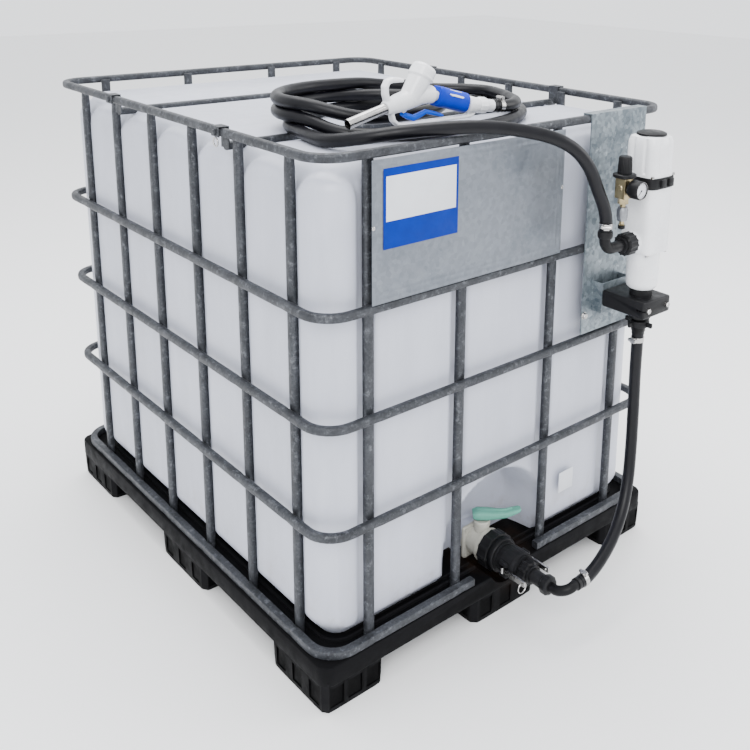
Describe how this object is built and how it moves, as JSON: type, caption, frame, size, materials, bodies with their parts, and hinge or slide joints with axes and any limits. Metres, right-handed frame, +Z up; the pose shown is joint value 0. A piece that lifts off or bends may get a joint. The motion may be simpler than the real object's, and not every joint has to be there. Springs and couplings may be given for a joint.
{
  "type": "intermediate bulk container",
  "caption": "Liquid container of white plastic in a galvanised tube cage on a black pallet, with a transfer pump, coiled delivery hose and dispensing nozzle.",
  "frame": {"origin": "under the middle of the pallet, on the floor plane", "axes": "+Z up, outlet valve and pump face -Y, the 1200 mm long sides run along Y, +X to the right seen from the outlet side"},
  "size_m": [1, 1.3835, 1.2418],
  "materials": {
    "galvanised": "hot-dip galvanised, dull and mottled",
    "bright_zinc": "spangled zinc sheet",
    "tank_white": "translucent natural polyethylene",
    "pallet_black": "recycled black plastic, scuffed",
    "fitting_black": "black polypropylene",
    "hose_black": "smooth black rubber",
    "pump_white": "glossy white plastic",
    "valve_cream": "aged cream plastic",
    "lever_green": "pale green plastic",
    "grip_blue": "royal blue plastic",
    "trigger_blue": "bright blue plastic",
    "steel": "stainless steel",
    "brass": "plain brass",
    "knurl_grey": "knurled steel"
  },
  "bodies": {
    "root": {"ring_base": "galvanised", "ring_1": "galvanised", "ring_2": "galvanised", "ring_3": "galvanised", "ring_top": "galvanised", "top_bar_front": "galvanised", "top_bar_rear": "galvanised", "post_front_1": "galvanised", "post_front_2": "galvanised", "post_front_3": "galvanised", "post_front_4": "galvanised", "post_rear_1": "galvanised", "post_rear_2": "galvanised", "post_rear_3": "galvanised", "post_rear_4": "galvanised", "post_left_1": "galvanised", "post_left_2": "galvanised", "post_left_3": "galvanised", "post_left_4": "galvanised", "post_left_5": "galvanised", "post_left_6": "galvanised", "post_right_1": "galvanised", "post_right_2": "galvanised", "post_right_3": "galvanised", "post_right_4": "galvanised", "post_right_5": "galvanised", "post_right_6": "galvanised", "front_plate": "bright_zinc", "pallet": "pallet_black", "tank_bottle": "tank_white", "valve_body": "valve_cream", "cam_coupler": "fitting_black", "suction_elbow": "fitting_black", "pump_bracket": "bright_zinc", "clamp_block": "fitting_black", "pump_body": "pump_white", "motor_housing": "pump_white", "outlet_elbow": "fitting_black", "regulator_body": "brass", "gauge_body": "steel", "delivery_hose_feed": "hose_black", "delivery_hose_tail": "hose_black", "suction_hose": "hose_black", "delivery_hose_coil": "hose_black", "nozzle_spout": "steel", "nozzle_body": "pump_white", "nozzle_grip": "grip_blue", "nozzle_swivel": "pump_white"},
    "valve_handle": {"valve_handle": "lever_green"},
    "lid": {"lid": "fitting_black"},
    "valve_nut": {"valve_nut": "fitting_black"},
    "reducer_nut": {"reducer_nut": "fitting_black"},
    "cam_lever_left": {"cam_lever_left": "steel"},
    "cam_lever_right": {"cam_lever_right": "steel"},
    "finger_ring": {"finger_ring": "steel"},
    "regulator_knob": {"regulator_knob": "fitting_black"},
    "gauge_needle": {"gauge_needle": "fitting_black"},
    "coupler_sleeve": {"coupler_sleeve": "knurl_grey"},
    "wing_nut": {"wing_nut": "fitting_black"},
    "nozzle_trigger": {"nozzle_trigger": "trigger_blue"}
  },
  "joints": [
    {"name": "valve_turn", "type": "hinge", "parent": "root", "child": "valve_handle", "pos_m": [0, -0.513, 0.201], "axis": [0, 0, 1], "range_deg": [-52, 38]},
    {"name": "lid_turn", "type": "hinge", "parent": "root", "child": "lid", "pos_m": [0, 0, 1.074], "axis": [0, 0, 1], "range_deg": [0, 720]},
    {"name": "valve_nut_turn", "type": "hinge", "parent": "root", "child": "valve_nut", "pos_m": [0, -0.5633, 0.13], "axis": [0, -1, 0], "continuous": true},
    {"name": "reducer_nut_turn", "type": "hinge", "parent": "root", "child": "reducer_nut", "pos_m": [0, -0.6649, 0.13], "axis": [0, -1, 0], "continuous": true},
    {"name": "cam_left_swing", "type": "hinge", "parent": "root", "child": "cam_lever_left", "pos_m": [-0.0385, -0.6206, 0.13], "axis": [0, 0, 1], "range_deg": [-80, 0]},
    {"name": "cam_right_swing", "type": "hinge", "parent": "root", "child": "cam_lever_right", "pos_m": [0.0385, -0.6206, 0.13], "axis": [0, 0, 1], "range_deg": [0, 80]},
    {"name": "finger_ring_swing", "type": "hinge", "parent": "cam_lever_left", "child": "finger_ring", "pos_m": [-0.0385, -0.6816, 0.13], "axis": [1, 0, 0], "range_deg": [-60, 10]},
    {"name": "knob_turn", "type": "hinge", "parent": "root", "child": "regulator_knob", "pos_m": [0.205, -0.7, 1.0123], "axis": [0, 0, 1], "range_deg": [-540, 540]},
    {"name": "needle_swing", "type": "hinge", "parent": "root", "child": "gauge_needle", "pos_m": [0.205, -0.7461, 0.982], "axis": [0, -1, 0], "range_deg": [0, 270]},
    {"name": "sleeve_slide", "type": "slide", "parent": "root", "child": "coupler_sleeve", "axis": [0, 0, 1], "range_m": [0, 0.003], "stiffness_N_per_m": 1200, "springref_m": -0.002},
    {"name": "wing_nut_turn", "type": "hinge", "parent": "root", "child": "wing_nut", "pos_m": [0.29, -0.7, 0.657], "axis": [0, 0, 1], "continuous": true},
    {"name": "trigger_squeeze", "type": "hinge", "parent": "root", "child": "nozzle_trigger", "pos_m": [-0.19, -0.45, 1.1415], "axis": [0, -1, 0], "range_deg": [0, 6], "stiffness_Nm_per_rad": 12, "springref_deg": -8.59}
  ]
}
